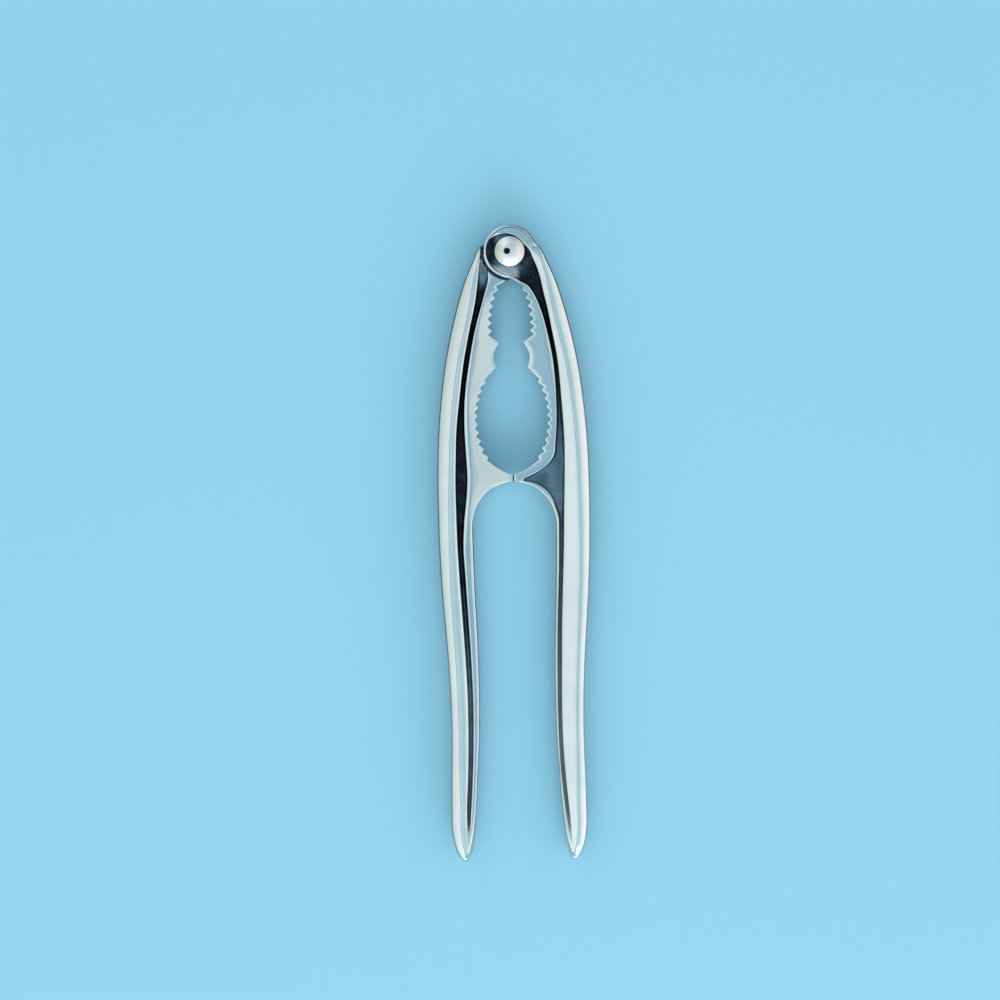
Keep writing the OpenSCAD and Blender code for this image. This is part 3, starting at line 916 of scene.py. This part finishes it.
# %% The two finishes
plate = metal(
    "plated_zinc",
    bright=(0.90, 0.91, 0.89, 1),
    shade=(0.83, 0.85, 0.85, 1),
    black=(0.012, 0.018, 0.026, 1),
    slate=(0.10, 0.18, 0.25, 1),
    polish=0.1,
    dull=0.35,
    ring=HUB_R - 0.72,
)
steel = metal(
    "rivet_steel",
    bright=(0.93, 0.91, 0.88, 1),
    shade=(0.86, 0.86, 0.85, 1),
    black=(0.01, 0.014, 0.018, 1),
    slate=(0.08, 0.10, 0.12, 1),
    polish=0.3,
    dull=0.5,
)

for piece, finish in ((left, plate), (right, plate), (rivet, steel)):
    piece.data.materials.clear()
    piece.data.materials.append(finish)

print("finishes:", plate.name, steel.name)

# %% What each piece stands for
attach(left, "left_lever")
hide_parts("left_lever")
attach(right, "right_lever")
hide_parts("right_lever")
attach(rivet, "left_lever")
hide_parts("pivot_rivet")

# %% [markdown]
# ## Floor, light and camera
#
# Bright metal shows its surroundings and little else. A pale floor, a bright dome with a darker
# horizon, and a few large soft lights give it broad light bands with dark edges between them.

# %% The floor
deselect()
bpy.ops.mesh.primitive_plane_add(size=4)
floor = bpy.context.object
floor.name = "floor"
material, tree, shader = new_material("pale_floor")
shader.inputs["Base Color"].default_value = (0.38, 0.75, 0.94, 1)
shader.inputs["Roughness"].default_value = 0.6
floor.data.materials.append(material)

# %% The dome
def screen_colour(red, green, blue):
    """From the usual 0 to 255 colour to the linear values that light works with."""
    return tuple(((c / 255 + 0.055) / 1.055) ** 2.4 for c in (red, green, blue))


world = bpy.context.scene.world or bpy.data.worlds.new("studio")
bpy.context.scene.world = world
world.use_nodes = True
tree = world.node_tree
background = tree.nodes["Background"]
direction = node(tree, "ShaderNodeTexCoord").outputs["Generated"]
split = node(tree, "ShaderNodeSeparateXYZ")
tree.links.new(direction, split.inputs["Vector"])
dome = node(tree, "ShaderNodeValToRGB")
stops = [
    (-1.0, (168, 188, 184)), (-0.72, (194, 208, 202)), (-0.5, (208, 222, 222)), (-0.24, (210, 226, 234)),
    (-0.11, (150, 188, 203)), (-0.05, (124, 166, 188)), (0.03, (124, 166, 188)), (0.1, (212, 221, 218)),
    (0.2, (180, 208, 216)), (0.36, (150, 190, 205)), (0.5, (212, 225, 228)), (0.7, (238, 238, 238)),
    (1.0, (228, 226, 222)),
]
while len(dome.color_ramp.elements) < len(stops):
    dome.color_ramp.elements.new(0.5)
for element, (at, colour) in zip(dome.color_ramp.elements, stops):
    element.position = (at + 1) / 2
    element.color = (*screen_colour(*colour), 1)
tree.links.new(ramp(tree, split.outputs["X"], -1.0, 1.0, 0.0, 1.0), dome.inputs["Fac"])
tree.links.new(dome.outputs["Color"], background.inputs["Color"])
horizon = ramp(tree, split.outputs["Z"], 0.1, 0.45, 0.06, 1.15)
near_side = ramp(tree, split.outputs["Y"], -0.6, 0.6, 1.2, 0.82)
tree.links.new(math_node(tree, "MULTIPLY", horizon, near_side), background.inputs["Strength"])
bpy.context.scene.view_settings.view_transform = "Standard"


# %% Soft lights
def soft_light(name, place, aim, size, power, colour):
    data = bpy.data.lights.new(name, "AREA")
    data.shape = "RECTANGLE"
    data.size, data.size_y = size
    data.energy = power
    data.color = colour
    light = bpy.data.objects.new(name, data)
    bpy.context.scene.collection.objects.link(light)
    light.location = place
    light.rotation_euler = (Vector(aim) - Vector(place)).to_track_quat("-Z", "Y").to_euler()
    return light


soft_light("lower_softbox", (0.15, -1.3, 0.9), (0, 0, 0), (1.2, 1.0), 8, (1.0, 0.98, 0.95))
soft_light("upper_softbox", (-0.5, 1.4, 1.0), (0, 0, 0), (1.2, 1.0), 1.5, (0.96, 0.98, 1.0))

# %% The camera
VIEW_WIDTH = 0.27
CAMERA_RISE = 10 * MM
ROLL = math.radians(-1.01)
AIM_X, AIM_Y = -2.58, -67.1
right_way = (math.cos(ROLL), math.sin(ROLL))
up_way = (-math.sin(ROLL), math.cos(ROLL))
aim_x = AIM_X * right_way[0] + AIM_Y * up_way[0]
aim_y = HINGE_Y + AIM_X * right_way[1] + AIM_Y * up_way[1]
camera_data = bpy.data.cameras.new("camera")
camera_data.lens = 135
camera_data.sensor_width = 36
distance = VIEW_WIDTH * camera_data.lens / camera_data.sensor_width
camera = bpy.data.objects.new("camera", camera_data)
bpy.context.scene.collection.objects.link(camera)
camera.location = (aim_x * MM, aim_y * MM, distance + CAMERA_RISE)
camera.rotation_euler = (0, 0, ROLL)
bpy.context.scene.camera = camera
print(f"camera {distance:.3f} m above the tool")
